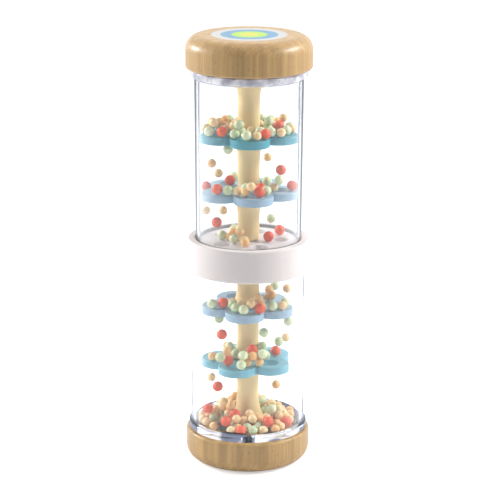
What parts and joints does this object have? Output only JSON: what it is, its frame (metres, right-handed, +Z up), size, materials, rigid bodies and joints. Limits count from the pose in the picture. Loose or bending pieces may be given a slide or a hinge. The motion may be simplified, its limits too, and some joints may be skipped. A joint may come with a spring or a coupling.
{
  "type": "rainstick",
  "caption": "Shaker toy: clear tubes joined by a collar, wooden end caps, a central column with flower-shaped shelves, and loose beads that trickle down through the shelves.",
  "frame": {"origin": "centre of the flat bottom face of the base cap", "axes": "+Z up along the stick, towards the cap with the painted rings; -Y is the front, +X is to the right"},
  "size_m": [0.0588, 0.0588, 0.205],
  "materials": {
    "beech": "satin",
    "clear_plastic": "polished",
    "collar_white": "satin",
    "column_cream": "satin",
    "shelf_teal": "satin",
    "shelf_periwinkle": "satin",
    "shelf_turquoise": "satin",
    "screw_steel": "plain",
    "bead_coral": "satin",
    "bead_green": "satin",
    "bead_cream": "satin"
  },
  "bodies": {
    "housing": {"top_cap": "beech", "upper_tube": "clear_plastic", "top_cap_screw": "screw_steel", "column_spool_3": "column_cream", "column_spool_2": "column_cream", "column_spool_1": "column_cream", "flower_shelf_2": "shelf_periwinkle", "flower_shelf_1": "shelf_teal", "base_cap": "beech", "lower_tube": "clear_plastic", "base_cap_screw": "screw_steel", "column_spool_4": "column_cream", "column_spool_5": "column_cream", "column_spool_6": "column_cream", "flower_shelf_3": "shelf_periwinkle", "flower_shelf_4": "shelf_turquoise", "collar": "collar_white"},
    "drift_shelf_1": {"shelf_1_bead_1": "bead_coral", "shelf_1_bead_2": "bead_coral", "shelf_1_bead_3": "bead_coral", "shelf_1_bead_4": "bead_green"},
    "drift_shelf_2": {"shelf_2_bead_1": "bead_coral", "shelf_2_bead_2": "bead_coral", "shelf_2_bead_3": "bead_coral", "shelf_2_bead_4": "bead_coral"},
    "drift_collar": {"collar_bead_1": "bead_coral", "collar_bead_2": "bead_coral", "collar_bead_3": "bead_green"},
    "drift_shelf_3": {"shelf_3_bead_1": "bead_coral", "shelf_3_bead_2": "bead_coral", "shelf_3_bead_3": "bead_green"},
    "drift_shelf_4": {"shelf_4_bead_1": "bead_coral", "shelf_4_bead_2": "bead_coral", "shelf_4_bead_3": "bead_green"},
    "drift_base": {"base_bead_1": "bead_coral", "base_bead_2": "bead_coral", "base_bead_3": "bead_coral", "base_bead_4": "bead_coral"},
    "drop_01": {"falling_bead_01": "bead_green"},
    "drop_02": {"falling_bead_02": "bead_cream"},
    "drop_03": {"falling_bead_03": "bead_cream"},
    "drop_04": {"falling_bead_04": "bead_coral"},
    "drop_05": {"falling_bead_05": "bead_cream"},
    "drop_06": {"falling_bead_06": "bead_coral"},
    "drop_07": {"falling_bead_07": "bead_cream"},
    "drop_08": {"falling_bead_08": "bead_cream"},
    "drop_09": {"falling_bead_09": "bead_coral"},
    "drop_10": {"falling_bead_10": "bead_green"},
    "drop_11": {"falling_bead_11": "bead_cream"},
    "drop_12": {"falling_bead_12": "bead_green"},
    "drop_13": {"falling_bead_13": "bead_cream"},
    "drop_14": {"falling_bead_14": "bead_green"},
    "drop_15": {"falling_bead_15": "bead_green"},
    "drop_16": {"falling_bead_16": "bead_green"},
    "drop_17": {"falling_bead_17": "bead_coral"},
    "drop_18": {"falling_bead_18": "bead_cream"},
    "drop_19": {"falling_bead_19": "bead_coral"},
    "drop_20": {"falling_bead_20": "bead_cream"},
    "drop_21": {"falling_bead_21": "bead_coral"},
    "drop_22": {"falling_bead_22": "bead_cream"}
  },
  "joints": [
    {"name": "drift_shelf_1_lift", "type": "slide", "parent": "housing", "child": "drift_shelf_1", "axis": [0, 0, 1], "range_m": [0, 0.018]},
    {"name": "drift_shelf_2_lift", "type": "slide", "parent": "housing", "child": "drift_shelf_2", "axis": [0, 0, 1], "range_m": [0, 0.013]},
    {"name": "drift_collar_lift", "type": "slide", "parent": "housing", "child": "drift_collar", "axis": [0, 0, 1], "range_m": [0, 0.012]},
    {"name": "drift_shelf_3_lift", "type": "slide", "parent": "housing", "child": "drift_shelf_3", "axis": [0, 0, 1], "range_m": [0, 0.019]},
    {"name": "drift_shelf_4_lift", "type": "slide", "parent": "housing", "child": "drift_shelf_4", "axis": [0, 0, 1], "range_m": [0, 0.013]},
    {"name": "drift_base_lift", "type": "slide", "parent": "housing", "child": "drift_base", "axis": [0, 0, 1], "range_m": [0, 0.014]},
    {"name": "drop_01_fall", "type": "slide", "parent": "housing", "child": "drop_01", "axis": [0, 0, 1], "range_m": [-0.0176, 0.0006]},
    {"name": "drop_02_fall", "type": "slide", "parent": "housing", "child": "drop_02", "axis": [0, 0, 1], "range_m": [-0.011, 0.0076]},
    {"name": "drop_03_fall", "type": "slide", "parent": "housing", "child": "drop_03", "axis": [0, 0, 1], "range_m": [-0.0104, 0.0082]},
    {"name": "drop_04_fall", "type": "slide", "parent": "housing", "child": "drop_04", "axis": [0, 0, 1], "range_m": [-0.0315, 0.0112]},
    {"name": "drop_05_fall", "type": "slide", "parent": "housing", "child": "drop_05", "axis": [0, 0, 1], "range_m": [-0.0035, 0.0151]},
    {"name": "drop_06_fall", "type": "slide", "parent": "housing", "child": "drop_06", "axis": [0, 0, 1], "range_m": [-0.0222, 0.0205]},
    {"name": "drop_07_fall", "type": "slide", "parent": "housing", "child": "drop_07", "axis": [0, 0, 1], "range_m": [-0.0128, 0.0037]},
    {"name": "drop_08_fall", "type": "slide", "parent": "housing", "child": "drop_08", "axis": [0, 0, 1], "range_m": [-0.0103, 0.0062]},
    {"name": "drop_09_fall", "type": "slide", "parent": "housing", "child": "drop_09", "axis": [0, 0, 1], "range_m": [-0.0072, 0.0085]},
    {"name": "drop_10_fall", "type": "slide", "parent": "housing", "child": "drop_10", "axis": [0, 0, 1], "range_m": [-0.0042, 0.0119]},
    {"name": "drop_11_fall", "type": "slide", "parent": "housing", "child": "drop_11", "axis": [0, 0, 1], "range_m": [-0.0045, 0.0201]},
    {"name": "drop_12_fall", "type": "slide", "parent": "housing", "child": "drop_12", "axis": [0, 0, 1], "range_m": [-0.0025, 0.0217]},
    {"name": "drop_13_fall", "type": "slide", "parent": "housing", "child": "drop_13", "axis": [0, 0, 1], "range_m": [-0.0022, 0.0224]},
    {"name": "drop_14_fall", "type": "slide", "parent": "housing", "child": "drop_14", "axis": [0, 0, 1], "range_m": [-0.0175, 0.0337]},
    {"name": "drop_15_fall", "type": "slide", "parent": "housing", "child": "drop_15", "axis": [0, 0, 1], "range_m": [-0.0174, 0.001]},
    {"name": "drop_16_fall", "type": "slide", "parent": "housing", "child": "drop_16", "axis": [0, 0, 1], "range_m": [-0.0129, 0.0055]},
    {"name": "drop_17_fall", "type": "slide", "parent": "housing", "child": "drop_17", "axis": [0, 0, 1], "range_m": [-0.0112, 0.0068]},
    {"name": "drop_18_fall", "type": "slide", "parent": "housing", "child": "drop_18", "axis": [0, 0, 1], "range_m": [-0.0058, 0.013]},
    {"name": "drop_19_fall", "type": "slide", "parent": "housing", "child": "drop_19", "axis": [0, 0, 1], "range_m": [-0.0046, 0.0134]},
    {"name": "drop_20_fall", "type": "slide", "parent": "housing", "child": "drop_20", "axis": [0, 0, 1], "range_m": [-0.0182, 0.0056]},
    {"name": "drop_21_fall", "type": "slide", "parent": "housing", "child": "drop_21", "axis": [0, 0, 1], "range_m": [-0.0179, 0.0051]},
    {"name": "drop_22_fall", "type": "slide", "parent": "housing", "child": "drop_22", "axis": [0, 0, 1], "range_m": [-0.0152, 0.0085]}
  ]
}
